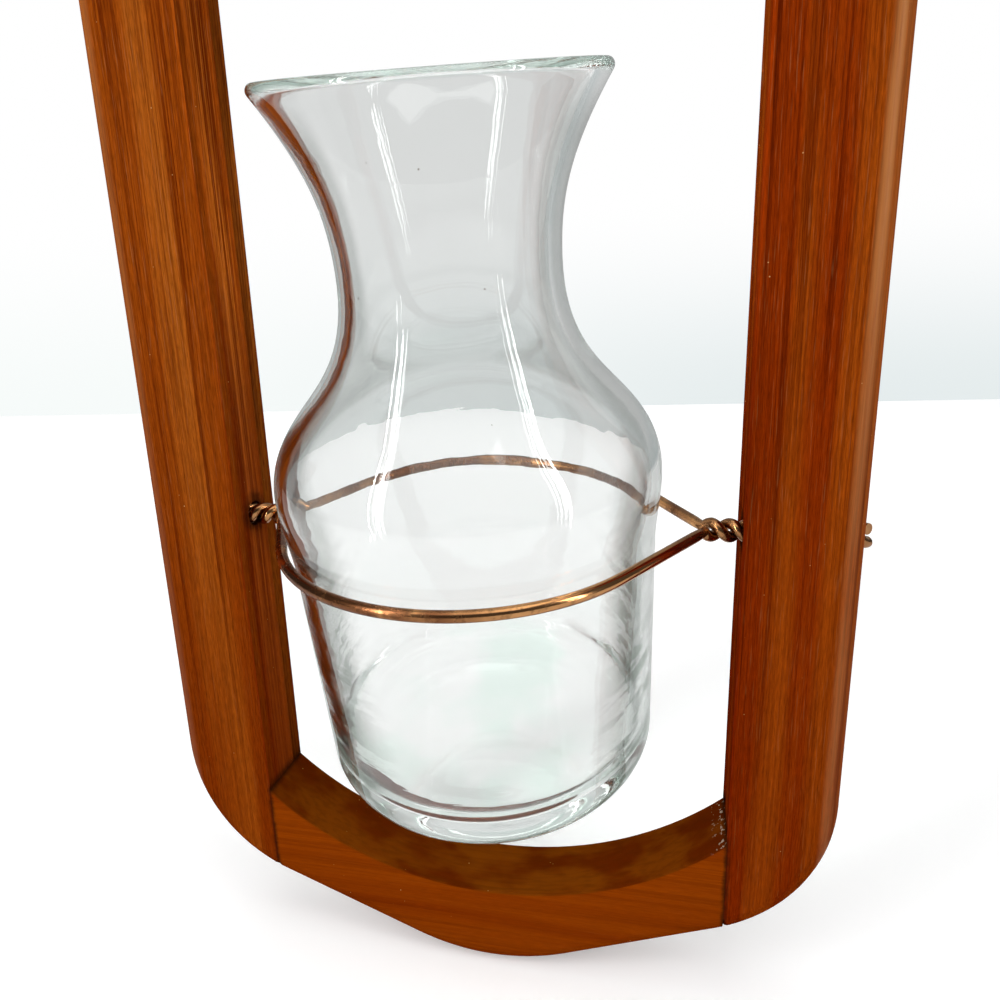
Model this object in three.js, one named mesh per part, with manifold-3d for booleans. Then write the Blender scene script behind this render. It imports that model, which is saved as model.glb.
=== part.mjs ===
// Hanging vase: a clear glass carafe held by a twisted copper wire cradle in an upright wooden frame.
// Millimetres, +Z up, front towards -Y. The origin is where a hook bears inside the eye at the top.
import * as THREE from 'three';
import { mergeVertices } from 'three/addons/utils/BufferGeometryUtils.js';
import Module from 'manifold-3d';

// Wooden frame, heights counted from the axis of the two wire holes
const sideRoom = 12.45; // between the vase's shoulder and each upright
const uprightWidth = 19.5;
const frameDepth = 14.4;
const openingBelowAxis = 77.9; // to the lowest point of the opening
const openingAboveAxis = 143; // to the highest point of the opening
const archRadius = 70.3; // hollowed inner edge of both rails
const railThickness = 18.5; // at the middle of a rail
const tipRadius = 44.5; // blunt point in the middle of a rail's outer edge
const flankSlope = THREE.MathUtils.degToRad(21.5); // outer edge between blunt point and corner
const cornerRadius = 32.4;
const edgeRadius = 4.2; // round-over along the outer edges
const glueLine = 0.3; // gap at each butt joint

// Dowels inside the four butt joints
const dowelDiameter = 6;
const dowelInRail = 10;
const dowelInUpright = 5;
const dowelChamfer = 0.8;
const dowelFromEdge = 13.3; // joint's inner edge to the dowel's axis
const dowelClearance = 0.3;

// Copper wire cradle
const wireDiameter = 2.05;
const strandGap = 0.3; // between the two twisted strands
const twistPitch = 6.4;
const twistTurns = 4.25; // at each end
const wireEndProud = 1.2; // cut ends beyond the outer faces
const holeClearance = 0.3;
const ringTilt = THREE.MathUtils.degToRad(6.5); // cradle's rest position, front edge down

// Glass vase, heights counted from the table it would stand on
const vaseHeight = 127.5;
const lipRadius = 26.45;
const lipLean = THREE.MathUtils.degToRad(32.5); // wall's slant from upright at the lip
const lipRun = 12.7; // how far the lip's slant carries into the flare
const neckRadius = 18.3;
const neckHeight = 100;
const neckRunUp = 8.5; // how far the neck's upright wall carries into the flare
const neckRunDown = 21.7; // and down into the shoulder
const shoulderSwell = 0.9; // shoulder's radius beyond the body's
const shoulderHeight = 62.9;
const shoulderRunUp = 14.5;
const shoulderRunDown = 4;
const bodyRadius = 33.9; // under the shoulder
const bodyTop = 49.9;
const bodyRunUp = 4;
const footTaper = 0.1; // foot's radius less than the body's
const heelRadius = 6;
const puntRadius = 23; // shallow hollow under the foot
const puntHeight = 1.6;
const glassWall = 2.2;
const floorThickness = 5;
const floorFillet = 7;
const seatHeight = 51.9; // wire ring above the foot
const seatClearance = 0.35;
const vaseOffset = -1.6; // vase stands a little left of the frame's centre
const vaseLean = THREE.MathUtils.degToRad(6); // vase's lean towards the front inside its ring
const vaseRoll = THREE.MathUtils.degToRad(0.4); // and its lean to the right

// Screw eye in the top rail
const eyeWire = 2.4;
const eyeBore = 10;
const eyeStand = 3; // straight shank showing between rail and loop
const eyeDepth = 13; // shank inside the rail
const eyeClearance = 0.3;
const eyeOpenFrom = THREE.MathUtils.degToRad(-72);
const eyeOpenTo = THREE.MathUtils.degToRad(246);

// Colours
const colours = {
  leftUpright: 0x97511b,
  rightUpright: 0x8a3f14,
  rail: 0x97480f,
  dowel: 0xc9a06a,
  brass: 0xb08d4a,
  copper: 0x9c5a30,
  glass: 0xdfeee8,
};

// Facets
const arcSegments = 8;
const edgeSegments = 5;
const vaseSegments = 40;
const roundSides = 16;
const wireSides = 6;
const wireSteps = 200;
const twistStepsPerTurn = 12;
const ringSteps = 18;
const eyeSides = 8;
const eyeSteps = 44;
const eyeLoopSteps = 20;
const gapSamples = 400;
const wallSamples = 60;
const wallSteps = { body: 3, shoulder: 5, neck: 9, flare: 7 };
const smallArcSteps = 4;

const shoulderRadius = bodyRadius + shoulderSwell;
const footRadius = bodyRadius - footTaper;
const halfOpening = shoulderRadius + sideRoom;
const halfWidth = halfOpening + uprightWidth;
const wireRadius = wireDiameter / 2;
const twistRadius = wireRadius + strandGap / 2;
const cutMargin = 5; // how far cutters reach past what they cut

const wasm = await Module();
wasm.setup();

function toSolid(geometry) {
  const plain = geometry.clone();
  plain.deleteAttribute('normal');
  plain.deleteAttribute('uv');
  const merged = mergeVertices(plain);
  return new wasm.Manifold(
    new wasm.Mesh({
      numProp: 3,
      vertProperties: new Float32Array(merged.attributes.position.array),
      triVerts: new Uint32Array(merged.index.array),
    }),
  );
}

function toGeometry(solid) {
  const { vertProperties, triVerts } = solid.getMesh();
  const geometry = new THREE.BufferGeometry();
  geometry.setAttribute('position', new THREE.BufferAttribute(vertProperties, 3));
  geometry.setIndex(new THREE.BufferAttribute(triVerts, 1));
  return geometry;
}

function namedMesh(name, geometry, material) {
  const mesh = new THREE.Mesh(geometry, material);
  mesh.name = name;
  return mesh;
}

function wood(colour) {
  return new THREE.MeshStandardMaterial({ color: colour, roughness: 0.5, metalness: 0 });
}

// A shape drawn in X and Z, given its thickness along Y about the frame's middle plane
function extrudeAcross(shape, depth, options) {
  const geometry = new THREE.ExtrudeGeometry(shape, { depth, curveSegments: arcSegments, ...options });
  geometry.rotateX(Math.PI / 2);
  geometry.translate(0, depth / 2, 0);
  return geometry;
}

function boxBetween(low, high) {
  const size = new THREE.Vector3().subVectors(high, low);
  const geometry = new THREE.BoxGeometry(size.x, size.y, size.z);
  geometry.translate(low.x + size.x / 2, low.y + size.y / 2, low.z + size.z / 2);
  return toSolid(geometry);
}

function cylinderAlongX(radius, fromX, toX, height) {
  const geometry = new THREE.CylinderGeometry(radius, radius, toX - fromX, roundSides);
  geometry.rotateZ(Math.PI / 2);
  geometry.translate((fromX + toX) / 2, 0, height);
  return toSolid(geometry);
}

// Frame outline

const bottomTip = -openingBelowAxis - railThickness;
const topTip = openingAboveAxis + railThickness;
const tipReach = tipRadius * Math.sin(flankSlope);
const tipRise = tipRadius * (1 - Math.cos(flankSlope));
const cornerX = halfWidth - cornerRadius;
const cornerRise =
  tipRise + (cornerRadius + Math.sin(flankSlope) * (cornerX - tipReach)) / Math.cos(flankSlope);

function frameOutline() {
  const quarter = Math.PI / 2;
  const shape = new THREE.Shape();
  shape.absarc(0, bottomTip + tipRadius, tipRadius, -quarter - flankSlope, -quarter + flankSlope);
  shape.absarc(cornerX, bottomTip + cornerRise, cornerRadius, -quarter + flankSlope, 0);
  shape.absarc(cornerX, topTip - cornerRise, cornerRadius, 0, quarter - flankSlope);
  shape.absarc(0, topTip - tipRadius, tipRadius, quarter - flankSlope, quarter + flankSlope);
  shape.absarc(-cornerX, topTip - cornerRise, cornerRadius, quarter + flankSlope, 2 * quarter);
  shape.absarc(-cornerX, bottomTip + cornerRise, cornerRadius, 2 * quarter, 3 * quarter - flankSlope);
  shape.closePath();
  return shape;
}

const archHalfAngle = Math.asin(halfOpening / archRadius);
const archDrop = archRadius * (1 - Math.cos(archHalfAngle));

function openingOutline() {
  const quarter = Math.PI / 2;
  const low = -openingBelowAxis + archRadius;
  const high = openingAboveAxis - archRadius;
  const shape = new THREE.Shape();
  shape.absarc(0, low, archRadius, -quarter - archHalfAngle, -quarter + archHalfAngle);
  shape.absarc(0, high, archRadius, quarter - archHalfAngle, quarter + archHalfAngle);
  shape.closePath();
  return shape;
}

function routedFrame() {
  const blank = extrudeAcross(frameOutline(), frameDepth - 2 * edgeRadius, {
    bevelEnabled: true,
    bevelSize: edgeRadius,
    bevelOffset: -edgeRadius,
    bevelThickness: edgeRadius,
    bevelSegments: edgeSegments,
  });
  const opening = extrudeAcross(openingOutline(), frameDepth + 2 * cutMargin, { bevelEnabled: false });
  return toSolid(blank).subtract(toSolid(opening));
}

// Wood pieces: the routed frame is parted at the butt joints, then bored

const frameRing = routedFrame();
const jointHeights = {
  bottom: -openingBelowAxis + archDrop - dowelFromEdge,
  top: openingAboveAxis - archDrop + dowelFromEdge,
};
const dowelBore = dowelDiameter / 2 + dowelClearance;
const wireBore = twistRadius + wireRadius + holeClearance;

function dowelHoles(side) {
  const joint = side * halfOpening;
  const inRail = joint - side * (glueLine + dowelInRail + dowelClearance);
  const inUpright = joint + side * (dowelInUpright + dowelClearance);
  const ends = [Math.min(inRail, inUpright), Math.max(inRail, inUpright)];
  return Object.values(jointHeights).map((height) => cylinderAlongX(dowelBore, ...ends, height));
}

function upright(side) {
  const reach = halfWidth + cutMargin;
  const nearX = side * halfOpening;
  const slab = boxBetween(
    new THREE.Vector3(Math.min(nearX, side * reach), -frameDepth, bottomTip),
    new THREE.Vector3(Math.max(nearX, side * reach), frameDepth, topTip),
  );
  const wireHole = cylinderAlongX(wireBore, -reach, reach, 0);
  const holes = [wireHole, ...dowelHoles(side)];
  return holes.reduce((piece, hole) => piece.subtract(hole), frameRing.intersect(slab));
}

function rail(isTop) {
  const reach = halfOpening - glueLine;
  const middle = (openingAboveAxis - openingBelowAxis) / 2;
  const slab = boxBetween(
    new THREE.Vector3(-reach, -frameDepth, isTop ? middle : bottomTip - cutMargin),
    new THREE.Vector3(reach, frameDepth, isTop ? topTip + cutMargin : middle),
  );
  const holes = [...dowelHoles(-1), ...dowelHoles(1)];
  return holes.reduce((piece, hole) => piece.subtract(hole), frameRing.intersect(slab));
}

function eyeHole() {
  const depth = eyeDepth + eyeClearance;
  const geometry = new THREE.CylinderGeometry(
    eyeWire / 2 + eyeClearance,
    eyeWire / 2 + eyeClearance,
    depth + cutMargin,
    roundSides,
  );
  geometry.rotateX(Math.PI / 2);
  geometry.translate(0, 0, topTip + (cutMargin - depth) / 2);
  return toSolid(geometry);
}

function dowel() {
  const radius = dowelDiameter / 2;
  const half = (dowelInRail + glueLine + dowelInUpright) / 2;
  const profile = [
    new THREE.Vector2(0, -half),
    new THREE.Vector2(radius - dowelChamfer, -half),
    new THREE.Vector2(radius, -half + dowelChamfer),
    new THREE.Vector2(radius, half - dowelChamfer),
    new THREE.Vector2(radius - dowelChamfer, half),
    new THREE.Vector2(0, half),
  ];
  return new THREE.LatheGeometry(profile, roundSides).rotateZ(-Math.PI / 2);
}

// Glass vase: one outer curve from foot to lip, its offset inside, a round lip and a thick floor

function outerCurves() {
  const point = (radius, height) => new THREE.Vector2(radius, height);
  const lipHeight = vaseHeight - (glassWall / 2) * (1 + Math.sin(lipLean));
  return {
    body: new THREE.LineCurve(point(footRadius, heelRadius), point(bodyRadius, bodyTop)),
    shoulder: new THREE.CubicBezierCurve(
      point(bodyRadius, bodyTop),
      point(bodyRadius, bodyTop + bodyRunUp),
      point(shoulderRadius, shoulderHeight - shoulderRunDown),
      point(shoulderRadius, shoulderHeight),
    ),
    neck: new THREE.CubicBezierCurve(
      point(shoulderRadius, shoulderHeight),
      point(shoulderRadius, shoulderHeight + shoulderRunUp),
      point(neckRadius, neckHeight - neckRunDown),
      point(neckRadius, neckHeight),
    ),
    flare: new THREE.CubicBezierCurve(
      point(neckRadius, neckHeight),
      point(neckRadius, neckHeight + neckRunUp),
      point(lipRadius - lipRun * Math.sin(lipLean), lipHeight - lipRun * Math.cos(lipLean)),
      point(lipRadius, lipHeight),
    ),
  };
}

function sampleWall(curve, divisions) {
  return Array.from({ length: divisions + 1 }, (_, index) => {
    const at = index / divisions;
    const tangent = curve.getTangent(at);
    return { outer: curve.getPoint(at), inward: new THREE.Vector2(-tangent.y, tangent.x) };
  });
}

function outerWall() {
  const curves = Object.entries(outerCurves());
  return curves.flatMap(([name, curve], index) => sampleWall(curve, wallSteps[name]).slice(index ? 1 : 0));
}

function outerRadiusAt(height) {
  const fine = Object.values(outerCurves()).flatMap((curve) => curve.getPoints(wallSamples));
  const upper = fine.findIndex((point) => point.y >= height);
  const [below, above] = [fine[upper - 1], fine[upper]];
  const share = (height - below.y) / (above.y - below.y);
  return below.x + share * (above.x - below.x);
}

function arcPoints(centre, radius, from, to, divisions) {
  return Array.from({ length: divisions + 1 }, (_, index) => {
    const angle = from + ((to - from) * index) / divisions;
    return new THREE.Vector2(centre.x + radius * Math.cos(angle), centre.y + radius * Math.sin(angle));
  });
}

// Shallow dome under the foot, from its crown out to the rim it stands on
function puntPoints() {
  const radius = (puntRadius ** 2 + puntHeight ** 2) / (2 * puntHeight);
  const rimAngle = Math.asin(puntRadius / radius);
  const centre = new THREE.Vector2(0, puntHeight - radius);
  return arcPoints(centre, radius, Math.PI / 2, Math.PI / 2 - rimAngle, smallArcSteps);
}

function vaseGeometry() {
  const quarter = Math.PI / 2;
  const wall = outerWall();
  const last = wall[wall.length - 1];
  const lipCentre = last.outer.clone().addScaledVector(last.inward, glassWall / 2);
  const lipFrom = Math.atan2(-last.inward.y, -last.inward.x);
  const lip = arcPoints(lipCentre, glassWall / 2, lipFrom, lipFrom + Math.PI, smallArcSteps);
  const inner = wall
    .map(({ outer, inward }) => outer.clone().addScaledVector(inward, glassWall))
    .filter((point) => point.y > floorThickness + floorFillet)
    .reverse();
  const innerFoot = footRadius - glassWall;
  const filletCentre = new THREE.Vector2(innerFoot - floorFillet, floorThickness + floorFillet);
  const heelCentre = new THREE.Vector2(footRadius - heelRadius, heelRadius);
  const profile = [
    ...puntPoints(),
    ...arcPoints(heelCentre, heelRadius, -quarter, 0, smallArcSteps),
    ...wall.slice(1).map(({ outer }) => outer),
    ...lip.slice(1, -1),
    ...inner,
    ...arcPoints(filletCentre, floorFillet, 0, -quarter, smallArcSteps),
    new THREE.Vector2(0, floorThickness),
  ];
  return new THREE.LatheGeometry(profile, vaseSegments).rotateX(quarter);
}

// Wire cradle: each strand is half the ring round the vase, twisted with the other at both ends

const seatRise = shoulderRadius * Math.sin(vaseLean); // the leaning vase bears that much higher in front
const bearingRadius = Math.max(outerRadiusAt(seatHeight + seatRise), outerRadiusAt(seatHeight - seatRise));
const ringRadius = bearingRadius + seatClearance + wireRadius;
const splitX = halfWidth + wireEndProud - twistPitch * twistTurns;

function twistPoints(facing, side) {
  const steps = Math.round(twistTurns * twistStepsPerTurn);
  return Array.from({ length: steps + 1 }, (_, index) => {
    const along = (index / steps) * twistTurns;
    const angle = 2 * Math.PI * along;
    const [y, z] = [facing * twistRadius * Math.cos(angle), facing * twistRadius * Math.sin(angle)];
    return new THREE.Vector3(side * (splitX + along * twistPitch), y, z);
  });
}

// Angle from the X axis at which a straight run from the twist touches the ring
function touchAngle(side) {
  const run = splitX - side * vaseOffset;
  const distance = Math.hypot(run, twistRadius);
  return Math.atan2(twistRadius, run) + Math.acos(ringRadius / distance);
}

function ringPoints(facing) {
  const from = touchAngle(1);
  const to = Math.PI - touchAngle(-1);
  return Array.from({ length: ringSteps + 1 }, (_, index) => {
    const angle = from + ((to - from) * index) / ringSteps;
    return new THREE.Vector3(
      vaseOffset + ringRadius * Math.cos(angle),
      facing * ringRadius * Math.sin(angle),
      0,
    );
  });
}

function strandCurve(facing) {
  const rightTwist = twistPoints(facing, 1);
  const leftTwist = twistPoints(facing, -1);
  const ring = ringPoints(facing);
  const midway = (from, to) => from.clone().add(to).divideScalar(2);
  const rightRun = midway(rightTwist[0], ring[0]);
  const leftRun = midway(leftTwist[0], ring[ring.length - 1]);
  const points = [...rightTwist.slice().reverse(), rightRun, ...ring, leftRun, ...leftTwist];
  const curve = new THREE.CatmullRomCurve3(points);
  curve.arcLengthDivisions = wireSteps * twistStepsPerTurn;
  return curve;
}

function roundSection(radius, sides) {
  const corners = Array.from({ length: sides }, (_, index) => (2 * Math.PI * index) / sides);
  return new THREE.Shape(corners.map((a) => new THREE.Vector2(radius * Math.cos(a), radius * Math.sin(a))));
}

function tubeAlong(curve, radius, sides, steps) {
  const section = roundSection(radius, sides);
  return new THREE.ExtrudeGeometry(section, { steps, extrudePath: curve, bevelEnabled: false });
}

// Least clear distance between stretches of one tube that aren't neighbours along it
function leastSelfGap(curve, diameter) {
  const points = curve.getSpacedPoints(gapSamples);
  const apart = Math.ceil((2 * diameter * points.length) / curve.getLength());
  let least = Infinity;
  points.forEach((point, index) => {
    points.slice(index + apart).forEach((other) => {
      least = Math.min(least, point.distanceTo(other));
    });
  });
  return least - diameter;
}

// Screw eye, drawn about the centre of its loop

const eyeRadius = (eyeBore + eyeWire) / 2;
const eyeCentre = topTip + eyeStand + eyeWire / 2 + eyeRadius;

function eyeCurve() {
  const shankTop = -eyeRadius - eyeWire / 2 - eyeStand / 2;
  const shankEnd = topTip - eyeCentre - eyeDepth;
  const loop = Array.from({ length: eyeLoopSteps + 1 }, (_, index) => {
    const angle = eyeOpenFrom + ((eyeOpenTo - eyeOpenFrom) * index) / eyeLoopSteps;
    return new THREE.Vector3(eyeRadius * Math.cos(angle), 0, eyeRadius * Math.sin(angle));
  });
  const shank = [shankEnd, (shankEnd + shankTop) / 2, shankTop].map((z) => new THREE.Vector3(0, 0, z));
  return new THREE.CatmullRomCurve3([...shank, ...loop]);
}

// Assembly

const hangingVase = new THREE.Group();
hangingVase.position.z = -(eyeCentre + eyeBore / 2);

hangingVase.add(namedMesh('left_upright', toGeometry(upright(-1)), wood(colours.leftUpright)));
hangingVase.add(namedMesh('right_upright', toGeometry(upright(1)), wood(colours.rightUpright)));
hangingVase.add(namedMesh('bottom_rail', toGeometry(rail(false)), wood(colours.rail)));
hangingVase.add(namedMesh('top_rail', toGeometry(rail(true).subtract(eyeHole())), wood(colours.rail)));

Object.entries(jointHeights).forEach(([place, height]) => {
  [['left', -1], ['right', 1]].forEach(([name, side]) => {
    const pin = namedMesh(`${place}_${name}_dowel`, dowel(), wood(colours.dowel));
    pin.position.set(side * (halfOpening + (dowelInUpright - glueLine - dowelInRail) / 2), 0, height);
    hangingVase.add(pin);
  });
});

const brass = new THREE.MeshStandardMaterial({ color: colours.brass, roughness: 0.35, metalness: 1 });
const eye = namedMesh('screw_eye', tubeAlong(eyeCurve(), eyeWire / 2, eyeSides, eyeSteps), brass);
eye.position.z = eyeCentre;
hangingVase.add(eye);

const cradle = new THREE.Group();
cradle.rotation.x = ringTilt;
hangingVase.add(cradle);

const strands = { front_wire: strandCurve(-1), back_wire: strandCurve(1) };
Object.entries(strands).forEach(([name, curve]) => {
  const copper = new THREE.MeshStandardMaterial({ color: colours.copper, roughness: 0.35, metalness: 1 });
  cradle.add(namedMesh(name, tubeAlong(curve, wireRadius, wireSides, wireSteps), copper));
  console.log(name, 'least gap to itself, mm:', leastSelfGap(curve, wireDiameter).toFixed(2));
});
console.log('screw_eye least gap to itself, mm:', leastSelfGap(eyeCurve(), eyeWire).toFixed(2));

const glass = new THREE.MeshStandardMaterial({
  color: colours.glass,
  roughness: 0.05,
  metalness: 0,
  transparent: true,
  opacity: 0.35,
});
const vase = namedMesh('glass_vase', vaseGeometry(), glass);
vase.position.z = -seatHeight;
const leaning = new THREE.Group();
leaning.rotation.set(vaseLean, vaseRoll, 0);
leaning.position.x = vaseOffset;
leaning.add(vase);
cradle.add(leaning);

export default hangingVase;
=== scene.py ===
import math

import bmesh
import bpy
from mathutils import Matrix, Quaternion, Vector
from mathutils.geometry import interpolate_bezier


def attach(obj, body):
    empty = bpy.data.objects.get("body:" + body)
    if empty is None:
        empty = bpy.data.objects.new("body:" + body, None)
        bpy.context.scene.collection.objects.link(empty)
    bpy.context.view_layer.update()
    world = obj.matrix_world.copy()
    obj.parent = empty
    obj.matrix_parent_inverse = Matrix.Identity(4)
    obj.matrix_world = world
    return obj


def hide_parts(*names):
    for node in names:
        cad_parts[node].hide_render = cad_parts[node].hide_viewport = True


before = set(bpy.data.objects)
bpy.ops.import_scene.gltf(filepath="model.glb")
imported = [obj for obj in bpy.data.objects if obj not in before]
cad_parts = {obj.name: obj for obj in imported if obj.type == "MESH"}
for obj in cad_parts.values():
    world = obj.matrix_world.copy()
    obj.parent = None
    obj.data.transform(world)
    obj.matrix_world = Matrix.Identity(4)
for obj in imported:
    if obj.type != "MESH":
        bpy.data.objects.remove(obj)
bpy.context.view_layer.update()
mm = 0.001
quarterTurn = math.pi / 2
white = (1, 1, 1, 1)
print("frame loaded:", ", ".join(sorted(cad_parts)))

# Shared modelling steps

modelling = {"alike": 0.01 * mm, "mergeGap": 0.001 * mm}


def deselectAll():
    if bpy.context.mode != "OBJECT":
        bpy.ops.object.mode_set(mode="OBJECT")
    bpy.ops.object.select_all(action="DESELECT")


def takeUp(piece):
    deselectAll()
    piece.select_set(True)
    bpy.context.view_layer.objects.active = piece


def startPen(name, point):  # one loose vertex to draw an outline with
    deselectAll()
    bpy.ops.mesh.primitive_plane_add(size=mm, location=(0, 0, 0))
    piece = bpy.context.object
    piece.name = piece.data.name = name
    bpy.ops.object.mode_set(mode="EDIT")
    bpy.ops.mesh.select_mode(type="VERT")
    bpy.ops.mesh.select_all(action="SELECT")
    bpy.ops.mesh.merge(type="CENTER")
    bpy.ops.transform.translate(value=point)
    return piece


def penAt(piece):
    drawn = bmesh.from_edit_mesh(piece.data)
    return next(v.co.copy() for v in drawn.verts if v.select)


def penTo(piece, point):
    step = Vector(point) - penAt(piece)
    bpy.ops.mesh.extrude_region_move(TRANSFORM_OT_translate={"value": step})


def penArc(centre, angle, steps):  # anticlockwise seen from the front
    bpy.ops.mesh.spin(steps=steps, angle=angle, center=centre, axis=(0, 1, 0))


def selectEdges(piece, wanted):
    bpy.ops.mesh.select_mode(type="EDGE")
    bpy.ops.mesh.select_all(action="DESELECT")
    drawn = bmesh.from_edit_mesh(piece.data)
    drawn.normal_update()
    for edge in drawn.edges:
        edge.select_set(wanted(edge))
    bmesh.update_edit_mesh(piece.data)


def turnOutwards(mergeGap):  # doubles merged, faces turned outwards
    bpy.ops.mesh.select_all(action="SELECT")
    bpy.ops.mesh.remove_doubles(threshold=mergeGap)
    bpy.ops.mesh.normals_make_consistent(inside=False)
    bpy.ops.object.mode_set(mode="OBJECT")


def applyAll(piece):
    takeUp(piece)
    for modifier in list(piece.modifiers):
        bpy.ops.object.modifier_apply(modifier=modifier.name)


def boreOut(piece, name, radius, centre, length, sides):  # a round hole along X
    deselectAll()
    bpy.ops.mesh.primitive_cylinder_add(vertices=sides, radius=radius, depth=length, location=centre,
                                        rotation=(0, quarterTurn, 0))
    cutter = bpy.context.object
    cut = piece.modifiers.new(name, "BOOLEAN")
    cut.operation = "DIFFERENCE"
    cut.solver = "EXACT"
    cut.object = cutter
    applyAll(piece)
    bpy.data.objects.remove(cutter)


def mirrorCopy(piece, name, factors, centre):
    takeUp(piece)
    bpy.ops.object.duplicate()
    copy = bpy.context.object
    copy.name = copy.data.name = name
    bpy.ops.object.mode_set(mode="EDIT")
    bpy.ops.mesh.select_all(action="SELECT")
    bpy.ops.transform.resize(value=factors, center_override=centre)
    bpy.ops.mesh.normals_make_consistent(inside=False)
    bpy.ops.object.mode_set(mode="OBJECT")
    return copy


def smooth(piece, degrees):
    takeUp(piece)
    bpy.ops.object.shade_smooth_by_angle(angle=math.radians(degrees))


def seat(piece, body, slot, *nodes):
    piece.data.materials.clear()
    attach(piece, body)
    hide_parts(*nodes)


# Camera: the photograph's place and angle

cameraView = {
    "place": (0.03551, -0.1397, -0.1328),
    "right": (0.9763, 0.2146, -0.0293),
    "up": (-0.0300, 0.2676, 0.9631),
    "back": (0.2145, -0.9393, 0.2677),
    "lens": 28.61,
    "film": 36,
    "nearest": 10 * mm,
}


def setCamera():
    deselectAll()
    bpy.ops.object.camera_add(location=cameraView["place"])
    camera = bpy.context.object
    turn = Matrix((cameraView["right"], cameraView["up"], cameraView["back"])).transposed()
    camera.rotation_mode = "QUATERNION"
    camera.rotation_quaternion = turn.to_quaternion()
    camera.data.lens = cameraView["lens"]
    camera.data.sensor_width = cameraView["film"]
    camera.data.clip_start = cameraView["nearest"]
    bpy.context.scene.camera = camera


setCamera()
print("camera set")

# Wooden frame: four pieces drawn as outlines, given their depth, rounded over and bored

woodFrame = {
    "halfOpening": 47.25 * mm,
    "uprightWidth": 19.5 * mm,
    "depth": 14.4 * mm,
    "openingLow": -254.8 * mm,
    "openingHigh": -33.9 * mm,
    "archRadius": 70.3 * mm,
    "railThickness": 18.5 * mm,
    "tipRadius": 44.5 * mm,
    "flankSlope": math.radians(21.5),
    "cornerRadius": 32.4 * mm,
    "edgeRadius": 4.2 * mm,
    "edgeSteps": 8,
    "easedEdge": 0.08 * mm,
    "easedSteps": 2,
    "easedOver": math.radians(50),
    "sharpAbove": 1.5 * mm,  # the rail's edges stay sharp from this far under the hollow
    "glueLine": 0.06 * mm,
    "wireAxis": -176.9 * mm,
    "wireBore": 2.5 * mm,
    "boreSides": 40,
    "cornerSteps": 22,
    "nibSteps": 2,
    "tipSteps": 16,
    "archSteps": 40,
    "smoothUnder": 28,
}
slope = woodFrame["flankSlope"]
archRadius = woodFrame["archRadius"]
halfWidth = woodFrame["halfOpening"] + woodFrame["uprightWidth"]
halfDepth = woodFrame["depth"] / 2
bottomTip = woodFrame["openingLow"] - woodFrame["railThickness"]
topTip = woodFrame["openingHigh"] + woodFrame["railThickness"]
frameMiddle = (bottomTip + topTip) / 2
cornerX = halfWidth - woodFrame["cornerRadius"]
tipReach = woodFrame["tipRadius"] * math.sin(slope)
tipRise = woodFrame["tipRadius"] * (1 - math.cos(slope))
flankRise = (woodFrame["cornerRadius"] + math.sin(slope) * (cornerX - tipReach)) / math.cos(slope)
cornerZ = bottomTip + tipRise + flankRise
railReach = woodFrame["halfOpening"] - woodFrame["glueLine"]
archCentre = woodFrame["openingLow"] + archRadius
archEnd = archCentre - math.sqrt(archRadius ** 2 - railReach ** 2)


def giveDepth():
    bpy.ops.mesh.select_all(action="SELECT")
    bpy.ops.mesh.remove_doubles(threshold=modelling["mergeGap"])
    bpy.ops.mesh.edge_face_add()
    bpy.ops.mesh.extrude_region_move(TRANSFORM_OT_translate={"value": (0, woodFrame["depth"], 0)})
    bpy.ops.mesh.select_all(action="SELECT")
    bpy.ops.mesh.normals_make_consistent(inside=False)


def roundOver(piece, isOuter):
    alike = modelling["alike"]

    def onFace(edge):
        start, end = (v.co.y for v in edge.verts)
        return abs(start - end) < alike and abs(abs(start) - halfDepth) < alike

    selectEdges(piece, lambda edge: onFace(edge) and all(isOuter(v.co) for v in edge.verts))
    bpy.ops.mesh.bevel(offset=woodFrame["edgeRadius"], segments=woodFrame["edgeSteps"], profile=0.5,
                       affect="EDGES", clamp_overlap=False)
    selectEdges(piece, lambda edge: edge.calc_face_angle(0) > woodFrame["easedOver"])
    bpy.ops.mesh.bevel(offset=woodFrame["easedEdge"], segments=woodFrame["easedSteps"], profile=0.5,
                       affect="EDGES", clamp_overlap=True)
    bpy.ops.object.mode_set(mode="OBJECT")


def drawUpright(name):
    radius = woodFrame["cornerRadius"]
    inner = woodFrame["halfOpening"]
    swing = math.acos((inner - cornerX) / radius)
    upperZ = 2 * frameMiddle - cornerZ
    ends = (cornerZ - radius * math.sin(swing), upperZ + radius * math.sin(swing))
    piece = startPen(name, (inner, -halfDepth, ends[0]))
    penArc((cornerX, -halfDepth, cornerZ), swing, woodFrame["cornerSteps"])
    penTo(piece, (halfWidth, -halfDepth, upperZ))
    penArc((cornerX, -halfDepth, upperZ), swing, woodFrame["cornerSteps"])
    giveDepth()

    def isOuter(co):
        atEnd = min(abs(co.z - end) for end in ends) < modelling["alike"]
        return co.x > inner + modelling["alike"] or atEnd

    roundOver(piece, isOuter)
    middle = ((inner + halfWidth) / 2, 0, woodFrame["wireAxis"])
    boreOut(piece, "wireHole", woodFrame["wireBore"], middle, 2 * halfWidth, woodFrame["boreSides"])
    return piece


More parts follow.
